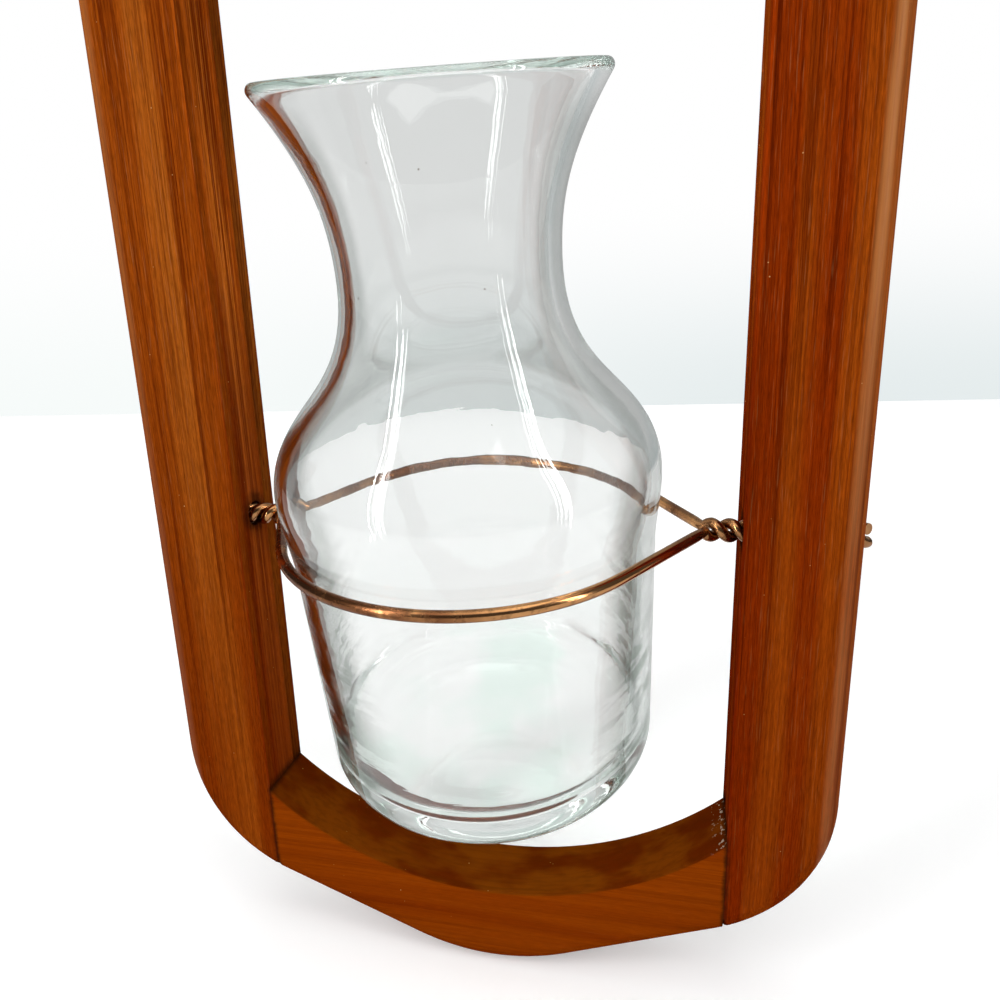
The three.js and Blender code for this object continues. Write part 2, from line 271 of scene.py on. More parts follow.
def drawRail(name):
    radius = woodFrame["cornerRadius"]
    turn = math.acos((railReach - cornerX) / radius)
    nib = quarterTurn - slope - turn  # rail's short share of each corner arc
    piece = startPen(name, (-railReach, -halfDepth, cornerZ - radius * math.sin(turn)))
    penArc((-cornerX, -halfDepth, cornerZ), nib, woodFrame["nibSteps"])
    penTo(piece, (-tipReach, -halfDepth, bottomTip + tipRise))
    penArc((0, -halfDepth, bottomTip + woodFrame["tipRadius"]), 2 * slope, woodFrame["tipSteps"])
    flankX = cornerX + radius * math.sin(slope)
    penTo(piece, (flankX, -halfDepth, cornerZ - radius * math.cos(slope)))
    penArc((cornerX, -halfDepth, cornerZ), nib, woodFrame["nibSteps"])
    penTo(piece, (railReach, -halfDepth, archEnd))
    archTurn = math.asin(railReach / archRadius)
    penArc((0, -halfDepth, archCentre), -2 * archTurn, woodFrame["archSteps"])
    giveDepth()
    roundOver(piece, lambda co: co.z < woodFrame["openingLow"] - woodFrame["sharpAbove"])
    return piece


rightUpright = drawUpright("rightUpright")
leftUpright = mirrorCopy(rightUpright, "leftUpright", (-1, 1, 1), (0, 0, 0))
bottomRail = drawRail("bottomRail")
topRail = mirrorCopy(bottomRail, "topRail", (1, 1, -1), (0, 0, frameMiddle))
for woodPiece in (leftUpright, rightUpright, bottomRail, topRail):
    smooth(woodPiece, woodFrame["smoothUnder"])
seat(leftUpright, "frame", "left_upright", "left_upright")
seat(rightUpright, "frame", "right_upright", "right_upright")
seat(bottomRail, "frame", "rails", "bottom_rail")
seat(topRail, "frame", "rails", "top_rail")
print("wooden frame drawn")

# Glass vase: half its section drawn beside its leaning axis and spun round it

glassVase = {
    "height": 127.5 * mm,
    "lipRadius": 26.45 * mm,
    "lipLean": math.radians(32.5),
    "lipRun": 12.7 * mm,
    "neckRadius": 18.3 * mm,
    "neckHeight": 100 * mm,
    "neckRunUp": 8.5 * mm,
    "neckRunDown": 21.7 * mm,
    "shoulderRadius": 34.8 * mm,
    "shoulderHeight": 62.9 * mm,
    "shoulderRunUp": 14.5 * mm,
    "shoulderRunDown": 4 * mm,
    "bodyRadius": 33.9 * mm,
    "bodyTop": 49.9 * mm,
    "bodyRunUp": 4 * mm,
    "bodyRunDown": 14.9 * mm,
    "footRadius": 33.8 * mm,
    "footRunUp": 14 * mm,
    "heelRadius": 6 * mm,
    "puntRadius": 23 * mm,
    "puntHeight": 1.6 * mm,
    "wall": 2.2 * mm,
    "floor": 5 * mm,
    "floorFillet": 7 * mm,
    "seatHeight": 51.9 * mm,
    "offset": -1.6 * mm,
    "lean": math.radians(12.5),
    "roll": math.radians(0.4),
    "bodySteps": 12,
    "shoulderSteps": 12,
    "neckSteps": 28,
    "flareSteps": 22,
    "lipSteps": 10,
    "puntSteps": 10,
    "heelSteps": 12,
    "floorSteps": 6,
    "turnSteps": 128,
    "mergeGap": 0.002 * mm,
    "smoothUnder": 60,
}


def arcFrom(centre, radius, start, end, steps):
    angles = [start + (end - start) * step / steps for step in range(steps + 1)]
    return [(centre[0] + radius * math.cos(a), centre[1] + radius * math.sin(a)) for a in angles]


def outerWall():  # radius and height, from the heel up to the lip
    v = glassVase
    lean = v["lipLean"]
    heel = (v["footRadius"], v["heelRadius"])
    body = (v["bodyRadius"], v["bodyTop"])
    shoulder = (v["shoulderRadius"], v["shoulderHeight"])
    neck = (v["neckRadius"], v["neckHeight"])
    lip = (v["lipRadius"], v["height"] - v["wall"] / 2 * (1 + math.sin(lean)))
    underLip = (lip[0] - v["lipRun"] * math.sin(lean), lip[1] - v["lipRun"] * math.cos(lean))

    def above(point, run):
        return (point[0], point[1] + run)

    runs = [
        (heel, above(heel, v["footRunUp"]), above(body, -v["bodyRunDown"]), body, v["bodySteps"]),
        (body, above(body, v["bodyRunUp"]), above(shoulder, -v["shoulderRunDown"]), shoulder,
         v["shoulderSteps"]),
        (shoulder, above(shoulder, v["shoulderRunUp"]), above(neck, -v["neckRunDown"]), neck,
         v["neckSteps"]),
        (neck, above(neck, v["neckRunUp"]), underLip, lip, v["flareSteps"]),
    ]
    wall = []
    for *points, steps in runs:
        knots = [Vector((x, z, 0)) for x, z in points]
        wall += interpolate_bezier(*knots, steps + 1)[1 if wall else 0:]
    return [(p.x, p.y) for p in wall]


def vaseSection():
    v = glassVase
    wall = outerWall()
    inner = []
    for index, point in enumerate(wall):
        before = wall[max(index - 1, 0)]
        after = wall[min(index + 1, len(wall) - 1)]
        run = (Vector(after) - Vector(before)).normalized()
        inner.append(Vector(point) + Vector((-run.y, run.x)) * v["wall"])
    lipCentre = (Vector(wall[-1]) + inner[-1]) / 2
    outward = Vector(wall[-1]) - inner[-1]
    lipStart = math.atan2(outward.y, outward.x)
    lip = arcFrom(lipCentre, v["wall"] / 2, lipStart, lipStart + math.pi, v["lipSteps"])
    floorTop = v["floor"] + v["floorFillet"]
    inside = [tuple(p) for p in inner if p.y > floorTop][::-1]
    domeRadius = (v["puntRadius"] ** 2 + v["puntHeight"] ** 2) / (2 * v["puntHeight"])
    domeEdge = quarterTurn - math.asin(v["puntRadius"] / domeRadius)
    punt = arcFrom((0, v["puntHeight"] - domeRadius), domeRadius, quarterTurn, domeEdge, v["puntSteps"])
    heelCentre = (v["footRadius"] - v["heelRadius"], v["heelRadius"])
    heel = arcFrom(heelCentre, v["heelRadius"], -quarterTurn, 0, v["heelSteps"])
    filletX = v["footRadius"] - v["wall"] - v["floorFillet"]
    fillet = arcFrom((filletX, floorTop), v["floorFillet"], 0, -quarterTurn, v["heelSteps"])
    shares = [step / v["floorSteps"] for step in range(1, v["floorSteps"] + 1)]
    floor = [(filletX * (1 - share), v["floor"]) for share in shares]
    return punt + heel + wall[1:] + lip[1:-1] + inside + fillet + floor


def drawVase(name):
    v = glassVase
    lean = Matrix.Rotation(v["lean"], 3, "X") @ Matrix.Rotation(v["roll"], 3, "Y")
    upward = lean @ Vector((0, 0, 1))
    centre = Vector((v["offset"], 0, woodFrame["wireAxis"]))

    def place(point):
        return centre + lean @ Vector((point[0], 0, point[1] - v["seatHeight"]))

    section = [place(point) for point in vaseSection()]
    piece = startPen(name, section[0])
    for point in section[1:]:
        penTo(piece, point)
    bpy.ops.mesh.select_all(action="SELECT")
    bpy.ops.mesh.spin(steps=v["turnSteps"], angle=math.tau, center=centre, axis=upward)
    turnOutwards(v["mergeGap"])
    smooth(piece, v["smoothUnder"])
    return piece


vase = drawVase("glassVase")
seat(vase, "vase", "clear_glass", "glass_vase")
print("glass vase spun:", len(vase.data.polygons), "faces")

# Copper cradle: each strand is half the ring, twisted with the other at both ends

copperCradle = {
    "wire": 2.05 * mm,
    "strandGap": 0.3 * mm,
    "pitch": 6.4 * mm,
    "turns": 4.25,
    "endProud": 1.2 * mm,
    "ringRadius": 35.64 * mm,
    "tilt": math.radians(6.5),
    "stepsPerTurn": 28,
    "ringSteps": 90,
    "runSteps": 8,
    "roundness": 5,
}
wireSmoothUnder = 50


def strandPath(facing):
    c = copperCradle
    orbit = (c["wire"] + c["strandGap"]) / 2
    split = halfWidth + c["endProud"] - c["pitch"] * c["turns"]
    ring = c["ringRadius"]
    centreX = glassVase["offset"]

    def twist(side):
        steps = round(c["turns"] * c["stepsPerTurn"])
        turns = [c["turns"] * step / steps for step in range(steps + 1)]
        return [Vector((side * (split + t * c["pitch"]), facing * orbit * math.cos(math.tau * t),
                        facing * orbit * math.sin(math.tau * t))) for t in turns]

    def touch(side):
        run = split - side * centreX
        return math.atan2(orbit, run) + math.acos(ring / math.hypot(run, orbit))

    start, end = touch(1), math.pi - touch(-1)
    bow = [start + (end - start) * step / c["ringSteps"] for step in range(c["ringSteps"] + 1)]
    around = [Vector((centreX + ring * math.cos(a), facing * ring * math.sin(a), 0)) for a in bow]
    right, left = twist(1), twist(-1)

    def run(fromPoint, toPoint):
        shares = [step / c["runSteps"] for step in range(1, c["runSteps"])]
        return [fromPoint.lerp(toPoint, share) for share in shares]

    path = right[::-1] + run(right[0], around[0]) + around + run(around[-1], left[0]) + left
    tilt = Matrix.Rotation(c["tilt"], 3, "X")
    return [tilt @ point + Vector((0, 0, woodFrame["wireAxis"])) for point in path]


def drawWire(name, path, look):
    deselectAll()
    bpy.ops.curve.primitive_bezier_curve_add(location=(0, 0, 0))
    wire = bpy.context.object
    wire.name = name
    wire.data.splines.clear()
    spline = wire.data.splines.new("POLY")
    spline.points.add(len(path) - 1)
    for point, place in zip(spline.points, path):
        point.co = (*place, 1)
    wire.data.dimensions = "3D"
    wire.data.bevel_depth = look["wire"] / 2
    wire.data.bevel_resolution = look["roundness"]
    wire.data.use_fill_caps = True
    bpy.ops.object.convert(target="MESH")
    wire = bpy.context.object
    wire.data.name = name
    bpy.ops.object.mode_set(mode="EDIT")
    turnOutwards(modelling["mergeGap"])
    smooth(wire, wireSmoothUnder)
    return wire


frontWire = drawWire("frontWire", strandPath(-1), copperCradle)
backWire = drawWire("backWire", strandPath(1), copperCradle)
seat(frontWire, "cradle", "copper_wire", "front_wire")
seat(backWire, "cradle", "copper_wire", "back_wire")
print("copper cradle bent:", len(frontWire.data.polygons), "faces a strand")

# Screw eye in the top rail

brassEye = {
    "wire": 2.4 * mm,
    "bore": 10 * mm,
    "stand": 3 * mm,
    "depth": 13 * mm,
    "openFrom": math.radians(-72),
    "openTo": math.radians(246),
    "bendRise": 1.4 * mm,
    "bendLead": 0.3,
    "loopSteps": 48,
    "shankSteps": 10,
    "bendSteps": 12,
    "roundness": 4,
}


def eyePath():
    e = brassEye
    radius = (e["bore"] + e["wire"]) / 2
    centreZ = -e["bore"] / 2
    shankTop = centreZ - radius - e["wire"] / 2 - e["stand"] / 2
    shankEnd = topTip - e["depth"]
    loop = [Vector((x, 0, z)) for x, z in
            arcFrom((0, centreZ), radius, e["openFrom"], e["openTo"], e["loopSteps"])]
    shares = [step / e["shankSteps"] for step in range(e["shankSteps"] + 1)]
    shank = [Vector((0, 0, shankEnd + (shankTop - shankEnd) * share)) for share in shares]
    lead = Vector((-math.sin(e["openFrom"]), 0, math.cos(e["openFrom"]))) * radius * e["bendLead"]
    rise = Vector((0, 0, e["bendRise"]))
    bend = interpolate_bezier(shank[-1], shank[-1] + rise, loop[0] - lead, loop[0], e["bendSteps"])
    return shank + bend[1:-1] + loop


screwEye = drawWire("screwEye", eyePath(), brassEye)
seat(screwEye, "frame", "screw_eye", "screw_eye")
print("screw eye bent")

# Material building steps


def feed(tree, node, values):  # a value that is a socket is linked, any other is set
    for name, value in values.items():
        if isinstance(value, bpy.types.NodeSocket):
            tree.links.new(value, node.inputs[name])
        else:
            node.inputs[name].default_value = value


def addNode(tree, kind, values=None, **settings):
    node = tree.nodes.new("ShaderNode" + kind)
    for name, setting in settings.items():
        setattr(node, name, setting)
    feed(tree, node, values or {})
    return node


def noise(tree, vector, scale, detail=2, rough=0.5):
    values = {"Vector": vector, "Scale": scale, "Detail": detail, "Roughness": rough}
    return addNode(tree, "TexNoise", values).outputs["Fac"]


def remap(tree, value, low, high, toLow=0, toHigh=1, how="SMOOTHSTEP"):
    values = {"Value": value, "From Min": low, "From Max": high, "To Min": toLow, "To Max": toHigh}
    return addNode(tree, "MapRange", values, interpolation_type=how).outputs["Result"]


def maths(tree, operation, first, second=0):
    return addNode(tree, "Math", {0: first, 1: second}, operation=operation).outputs[0]


def times(tree, first, *others):
    for other in others:
        first = maths(tree, "MULTIPLY", first, other)
    return first


def plus(tree, first, second):
    return maths(tree, "ADD", first, second)


def minus(tree, first, second):
    return maths(tree, "SUBTRACT", first, second)


def larger(tree, first, second):
    return maths(tree, "MAXIMUM", first, second)


def sizeOf(tree, value):
    return maths(tree, "ABSOLUTE", value)


def radial(tree, first, second):  # distance from an axis
    return maths(tree, "SQRT", plus(tree, times(tree, first, first), times(tree, second, second)))


def stretch(tree, vector, factors):
    return addNode(tree, "VectorMath", {0: vector, 1: factors}, operation="MULTIPLY").outputs[0]


def pattern(tree, vector, scale, cut=None, stretched=None, detail=2, rough=0.5, to=(0, 1)):
    if stretched:
        vector = stretch(tree, vector, stretched)
    value = noise(tree, vector, scale, detail, rough)
    return remap(tree, value, *cut, *to) if cut else value


def blend(tree, factor, first, second, how="MIX"):
    values = {0: factor, 6: first, 7: second}
    return addNode(tree, "Mix", values, data_type="RGBA", blend_type=how).outputs[2]


def axesOf(tree, vector):
    return addNode(tree, "SeparateXYZ", {0: vector}).outputs


def newGroup(name, inputs, outputs):
    group = bpy.data.node_groups.new(name, "ShaderNodeTree")
    for way, sockets in (("INPUT", inputs), ("OUTPUT", outputs)):
        for socketName, kind in sockets.items():
            group.interface.new_socket(socketName, in_out=way, socket_type="NodeSocket" + kind)
    return group, group.nodes.new("NodeGroupInput").outputs, group.nodes.new("NodeGroupOutput")


def placeGroup(tree, group, values):
    return addNode(tree, "Group", values, node_tree=group).outputs


def newMaterial(name):
    made = bpy.data.materials.new(name)
    made.use_nodes = True
    tree = made.node_tree
    place = tree.nodes.new("ShaderNodeTexCoord").outputs["Object"]
    return made, tree, tree.nodes["Principled BSDF"], place


def addBump(tree, height, strength, depth):
    return addNode(tree, "Bump", {"Height": height, "Strength": strength, "Distance": depth}).outputs[0]


# Oiled straight-grained wood: grain along Z

grainPattern = {
    "wanderScale": 40,
    "wanderStretch": (1, 1, 0.2),
    "wanderReach": (2 * mm, 2 * mm, 0),
    "zones": dict(scale=150, cut=(0.38, 0.62), stretched=(1, 1, 0.025)),
    "gathered": dict(scale=260, cut=(0.36, 0.58), stretched=(1, 1, 0.02), detail=1, to=(0.25, 1)),
    "rings": dict(scale=1050, cut=(0.49, 0.57), stretched=(1, 1, 0.005), rough=0.6),
    "threads": dict(scale=2300, cut=(0.47, 0.6), stretched=(1, 1, 0.008), rough=0.6),
    "threadShare": 0.6,
    "threadHeight": 0.4,
    "fibre": dict(scale=7000, stretched=(1, 1, 0.06), rough=0.65),
    "fibreCut": (0.25, 0.75),
    "flecks": dict(scale=4600, cut=(0.58, 0.72), stretched=(1, 1, 0.03)),
    "fleckColour": (0.4, 0.16, 0.055, 1),
    "roughCut": (0.3, 0.75),
    "roughness": (0.4, 0.58),
}


def makeGrain():  # zones of tone, clustered growth lines, fibres and pale flecks
    g = grainPattern
    inputs = {"Place": "Vector", "Pale": "Color", "Dark": "Color", "Tone": "Color", "Lines": "Float",
              "Flecks": "Float", "Fibre": "Float"}
    outputs = {"Color": "Color", "Roughness": "Float", "Height": "Float"}
    group, given, result = newGroup("straightGrain", inputs, outputs)
    spread = stretch(group, given["Place"], g["wanderStretch"])
    wander = addNode(group, "TexNoise", {"Vector": spread, "Scale": g["wanderScale"], "Detail": 1})
    shift = stretch(group, wander.outputs["Color"], g["wanderReach"])
    bent = addNode(group, "VectorMath", {0: given["Place"], 1: shift}, operation="ADD").outputs[0]
    base = blend(group, pattern(group, bent, **g["zones"]), given["Pale"], given["Tone"])
    rings = times(group, pattern(group, bent, **g["rings"]), pattern(group, bent, **g["gathered"]))
    lined = blend(group, times(group, rings, given["Lines"]), base, given["Dark"])
    threads = times(group, pattern(group, bent, **g["threads"]), given["Lines"])
    threaded = blend(group, times(group, threads, g["threadShare"]), lined, given["Dark"])
    fibre = pattern(group, bent, **g["fibre"])
    dull = minus(group, 1, given["Fibre"])
    bright = plus(group, 1, given["Fibre"])
    shade = remap(group, fibre, *g["fibreCut"], dull, bright, "LINEAR")
    shades = addNode(group, "CombineColor", {0: shade, 1: shade, 2: shade}).outputs[0]
    shaded = blend(group, 1, threaded, shades, "MULTIPLY")
    flecks = pattern(group, bent, **g["flecks"])
    flecked = blend(group, times(group, flecks, given["Flecks"]), shaded, g["fleckColour"])
    raised = minus(group, plus(group, times(group, threads, g["threadHeight"]), fibre), flecks)
    rough = remap(group, fibre, *g["roughCut"], *g["roughness"])
    feed(group, result, {"Color": flecked, "Roughness": rough, "Height": raised})
    return group


markPattern = {
    "jointInset": 0.15 * mm,
    "jointFade": (0.35 * mm, 1.3 * mm),
    "jointRag": dict(scale=900, detail=3),
    "jointRagReach": 0.9 * mm,
    "archLead": 2 * mm,
    "holeFade": (3.8 * mm, 7.4 * mm),
    "holeRag": dict(scale=500, detail=3),
    "holeRagReach": 4 * mm,
    "holeDepth": (0.5 * mm, 3 * mm),
    "holeInside": 0.25,
    # the band on the rounded outer edges that takes the painted sheen and the coat
    "edgeRise": (4 * mm, 2.7 * mm),
    "edgeFall": (2.3 * mm, 1.1 * mm),
    "edgeRest": 0.3,
    # the inner faces, which take painted light and shade
    "innerFade": (0.05 * mm, 0.4 * mm),
    "dustScale": 520,
    "dustSize": (0.03, 0.08),
    "dustPatches": dict(scale=160, cut=(0.56, 0.66)),
}


def makeWoodMarks():  # where dirt gathers, a band on the rounded outer edges that takes a painted sheen, the inner faces that take painted light and shade, and pale dust
    m = markPattern
    outputs = {"Joint": "Float", "Hole": "Float", "Dust": "Float", "Edge": "Float", "Inner": "Float"}
    group, given, result = newGroup("woodMarks", {"Place": "Vector"}, outputs)
    place = given["Place"]
    parts = axesOf(group, place)
    across = sizeOf(group, parts["X"])
    inner = woodFrame["halfOpening"]
    fromJoint = sizeOf(group, minus(group, across, inner - m["jointInset"]))
    ragged = times(group, pattern(group, place, **m["jointRag"]), m["jointRagReach"])
    atJoint = remap(group, plus(group, fromJoint, ragged), *m["jointFade"], 1, 0)
    fromMiddle = sizeOf(group, minus(group, parts["Z"], frameMiddle))
    archReach = frameMiddle - archEnd
    beyondArch = remap(group, fromMiddle, archReach - m["archLead"], archReach)
    reach = radial(group, minus(group, parts["Z"], woodFrame["wireAxis"]), parts["Y"])
    uneven = times(group, pattern(group, place, **m["holeRag"]), m["holeRagReach"])
    nearHole = remap(group, plus(group, reach, uneven), *m["holeFade"], 1, 0)
    inFace = remap(group, across, *(inner + depth for depth in m["holeDepth"]), 1, m["holeInside"])
    risen = remap(group, across, *(halfWidth - inset for inset in m["edgeRise"]))
    fallen = remap(group, across, *(halfWidth - inset for inset in m["edgeFall"]), 1, m["edgeRest"])
    innerFace = remap(group, across, *(inner + depth for depth in m["innerFade"]), 1, 0)
    cells = addNode(group, "TexVoronoi", {"Vector": place, "Scale": m["dustScale"]}).outputs["Distance"]
    dust = remap(group, cells, *m["dustSize"], 1, 0)
    feed(group, result, {
        "Joint": times(group, atJoint, beyondArch),
        "Hole": times(group, nearHole, inFace),
        "Dust": times(group, dust, pattern(group, place, **m["dustPatches"])),
        "Edge": times(group, risen, fallen),
        "Inner": innerFace,
    })
    return group


# paintedSheen is the strength of the painted sheen on the rounded outer edges, lowShade that of the painted
# shade towards the bottom
woodFinishes = {
    "leftUpright": {
        "pale": (0.365, 0.098, 0.01, 1),
        "tone": (0.245, 0.047, 0.003, 1),
        "dark": (0.085, 0.009, 0.0005, 1),
        "lines": 0.9, "flecks": 0.25, "fibre": 0.4, "paintedSheen": 0.3, "lowShade": 0.9,
        "turn": (0, 0, 0.5), "slide": (0.3, 0.1, 0),
    },
    "rightUpright": {
        "pale": (0.275, 0.051, 0.003, 1),
        "tone": (0.2, 0.022, 0.0008, 1),
        "dark": (0.07, 0.006, 0.0004, 1),
        "lines": 0.75, "flecks": 0.2, "fibre": 0.35, "paintedSheen": 0.85, "lowShade": 0.55,
        "turn": (0, 0, 0.2), "slide": (0.7, 0.4, 0.2),
    },
    "rails": {
        "pale": (0.22, 0.037, 0.0009, 1),
        "tone": (0.165, 0.021, 0.0005, 1),
        "dark": (0.11, 0.014, 0.0004, 1),
        "lines": 0.35, "flecks": 0.04, "fibre": 0.16, "paintedSheen": 0, "lowShade": 0,
        "turn": (0, quarterTurn, 0), "slide": (0.2, 0.6, 0.1),
    },
    "dowels": {
        "pale": (0.6, 0.36, 0.16, 1),
        "tone": (0.52, 0.3, 0.12, 1),
        "dark": (0.4, 0.21, 0.08, 1),
        "lines": 0.5, "flecks": 0, "fibre": 0.3, "paintedSheen": 0, "lowShade": 0,
        "turn": (0, quarterTurn, 0), "slide": (0.9, 0.2, 0.5),
    },
}
# real dirt and dust, with painted shade low on the uprights, painted light and shade on their inner faces
# and a painted sheen on their rounded outer edges
woodWearAndPaintedLight = {
    # painted shade: the uprights darken towards the bottom
    "lowShadeColour": (0.6, 0.4, 0.2, 1),
    "lowSpan": (woodFrame["openingLow"], frameMiddle + 40 * mm),
    "lowFewerLines": 0.8,
    # painted light and shade on the inner faces of the uprights: paler near the top, darker lower down
    "innerPaintedLight": (1.3, 1.25, 1.2, 1),
    "innerPaintedShade": (0.8, 0.6, 0.8, 1),
    "innerSpan": (frameMiddle - 30 * mm, frameMiddle + 30 * mm),
    "innerShadeShare": 0.9,
    # painted sheen: a paler tan band along the rounded outer edges, broken up and weaker lower down
    "paintedSheenColour": (0.44, 0.17, 0.048, 1),
    "sheenPatches": dict(scale=1300, cut=(0.35, 0.6), stretched=(1, 1, 0.03), to=(0.6, 1)),
    "sheenSpan": (frameMiddle - 38 * mm, frameMiddle + 27 * mm),
    "sheenLow": 0.4,
    "dirtColour": (0.018, 0.006, 0.002, 1),
    "jointDirt": 0.8,
    "holeDirt": 0.85,
    "dustColour": (0.6, 0.36, 0.14, 1),
    "dustShare": 0.8,
    "bump": 0.12,
    "bumpDepth": 0.1 * mm,
    "edgeCoat": 0.14,
    "coatRoughness": 0.3,
}
hollowFinish = {
    "share": 0.9,
    "edgeFade": (0.25 * mm, 0.6 * mm),
    "dark": (0.09, 0.012, 0.0005, 1),
    "pale": (0.158, 0.036, 0.0016, 1),
    "blotches": dict(scale=75, cut=(0.38, 0.64), stretched=(1, 1.6, 1), detail=3),
    "streakColour": (0.055, 0.011, 0.0006, 1),
    "streaks": dict(scale=900, cut=(0.4, 0.7), stretched=(0.06, 1, 1), to=(0, 0.35)),
    "endColour": (0.05, 0.006, 0.0003, 1),
    "endSpan": (18 * mm, 40 * mm),
    "endShare": 0.15,
    "chipColour": (0.5, 0.4, 0.3, 1),
    "chips": dict(scale=1300, cut=(0.6, 0.66)),
    "chipSpan": (44 * mm, 46.5 * mm),
    "chipShare": 0.8,
}


def hollowTone(tree, place, colour):  # the hollowed edges of the rails are duller and blotched
    h = hollowFinish
    parts = axesOf(tree, place)
    offHollow = []
    for centreZ in (archCentre, woodFrame["openingHigh"] - archRadius):
        reach = radial(tree, minus(tree, parts["Z"], centreZ), parts["X"])
        offHollow.append(sizeOf(tree, minus(tree, reach, archRadius)))
    nearest = maths(tree, "MINIMUM", *offHollow)
    onHollow = remap(tree, nearest, *h["edgeFade"], h["share"], 0)
    dull = blend(tree, pattern(tree, place, **h["blotches"]), h["dark"], h["pale"])
    dull = blend(tree, pattern(tree, place, **h["streaks"]), dull, h["streakColour"])
    ends = remap(tree, sizeOf(tree, parts["X"]), *h["endSpan"], 0, h["endShare"])
    dull = blend(tree, ends, dull, h["endColour"])
    byJoint = remap(tree, parts["X"], *h["chipSpan"], 0, h["chipShare"])
    chipped = times(tree, pattern(tree, place, **h["chips"]), byJoint)
    dull = blend(tree, chipped, dull, h["chipColour"])
    return blend(tree, onHollow, colour, dull)


def makeWood(name, isRail=False):
    finish, wear = woodFinishes[name], woodWearAndPaintedLight
    made, tree, shader, place = newMaterial(name + "Wood")
    turned = addNode(tree, "Mapping", {"Vector": place, "Location": finish["slide"],
                                       "Rotation": finish["turn"]})
    height = axesOf(tree, place)["Z"]
    # painted shade: lowness darkens the uprights towards the bottom
    lowness = remap(tree, height, *wear["lowSpan"], finish["lowShade"], 0)
    lines = times(tree, minus(tree, 1, times(tree, lowness, wear["lowFewerLines"])), finish["lines"])
    look = placeGroup(tree, grain, {
        "Place": turned.outputs[0], "Pale": finish["pale"], "Dark": finish["dark"], "Tone": finish["tone"],
        "Lines": lines, "Flecks": finish["flecks"], "Fibre": finish["fibre"]})
    marks = placeGroup(tree, woodMarks, {"Place": place})
    colour = hollowTone(tree, place, look["Color"]) if isRail else look["Color"]
    colour = blend(tree, lowness, colour, wear["lowShadeColour"], "MULTIPLY")
    # painted light and shade on the inner faces: paler near the top, darker lower down
    if not isRail:
        innerShadeAmount = remap(tree, height, *wear["innerSpan"], wear["innerShadeShare"], 0)
        innerLightAndShade = blend(tree, innerShadeAmount, wear["innerPaintedLight"], wear["innerPaintedShade"])
        colour = blend(tree, marks["Inner"], colour, innerLightAndShade, "MULTIPLY")
    # painted sheen along the rounded outer edges, weaker lower down
    sheenByHeight = remap(tree, height, *wear["sheenSpan"], wear["sheenLow"], 1)
    worn = times(tree, pattern(tree, place, **wear["sheenPatches"]), sheenByHeight)
    colour = blend(tree, times(tree, marks["Edge"], worn, finish["paintedSheen"]), colour, wear["paintedSheenColour"])
    colour = blend(tree, times(tree, marks["Joint"], wear["jointDirt"]), colour, wear["dirtColour"])
    colour = blend(tree, times(tree, marks["Hole"], wear["holeDirt"]), colour, wear["dirtColour"])
    colour = blend(tree, times(tree, marks["Dust"], wear["dustShare"]), colour, wear["dustColour"])
    feed(tree, shader, {
        "Base Color": colour,
        "Roughness": look["Roughness"],
        "Normal": addBump(tree, look["Height"], wear["bump"], wear["bumpDepth"]),
        "Specular IOR Level": 0,
        "Coat Weight": times(tree, marks["Edge"], wear["edgeCoat"]),
        "Coat Roughness": wear["coatRoughness"],
    })
    return made


grain = makeGrain()
woodMarks = makeWoodMarks()
leftUpright.data.materials.append(makeWood("leftUpright"))
rightUpright.data.materials.append(makeWood("rightUpright"))
railWood = makeWood("rails", True)
bottomRail.data.materials.append(railWood)
topRail.data.materials.append(railWood)
dowelWood = makeWood("dowels")
for node in ("bottom_left_dowel", "bottom_right_dowel", "top_left_dowel", "top_right_dowel"):
    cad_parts[node].data.materials.clear()
    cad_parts[node].data.materials.append(dowelWood)
print("wood finished")

# Aged copper and brass

tarnishPattern = {
    "patches": dict(scale=130, cut=(0.3, 0.54), detail=3, rough=0.6),
    "spots": dict(scale=600, cut=(0.52, 0.72), detail=3, rough=0.6),
    "spotShare": 0.5,
    "scratches": dict(scale=4200, stretched=(0.4, 1, 1)),
    "roughness": (0.14, 0.26),
    "spotRoughness": 0.15,
}
metalFinishes = {
    "agedCopper": {
        "bright": (0.62, 0.31, 0.125, 1), "brown": (0.21, 0.083, 0.034, 1), "deep": (0.05, 0.023, 0.012, 1),
        "worn": 0.9,
    },
    "eyeBrass": {
        "bright": (0.7, 0.47, 0.17, 1), "brown": (0.5, 0.31, 0.1, 1), "deep": (0.22, 0.13, 0.05, 1),
        "worn": 0,
    },
}
metalWear = {
    "frontAcross": (0, 14 * mm),
    "frontDepth": (-12 * mm, -2 * mm),
    "endSpan": (34 * mm, 39 * mm),
    "endShare": 0.45,
    "bump": 0.08,
    "bumpDepth": 0.05 * mm,
}


def makeTarnish():  # patches of brown film, rubbed bright places and fine scratches
    t = tarnishPattern
    inputs = {"Place": "Vector", "Worn": "Float", "Bright": "Color", "Brown": "Color", "Deep": "Color"}
    outputs = {"Color": "Color", "Roughness": "Float", "Height": "Float"}
    group, given, result = newGroup("tarnish", inputs, outputs)
    place = given["Place"]
    patches = times(group, pattern(group, place, **t["patches"]), minus(group, 1, given["Worn"]))
    spots = pattern(group, place, **t["spots"])
    filmed = blend(group, patches, given["Bright"], given["Brown"])
    spotted = blend(group, times(group, spots, t["spotShare"]), filmed, given["Deep"])
    filmRough = remap(group, patches, 0, 1, *t["roughness"])
    rough = plus(group, filmRough, times(group, spots, t["spotRoughness"]))
    scratches = pattern(group, place, **t["scratches"])
    feed(group, result, {"Color": spotted, "Roughness": rough, "Height": scratches})
    return group


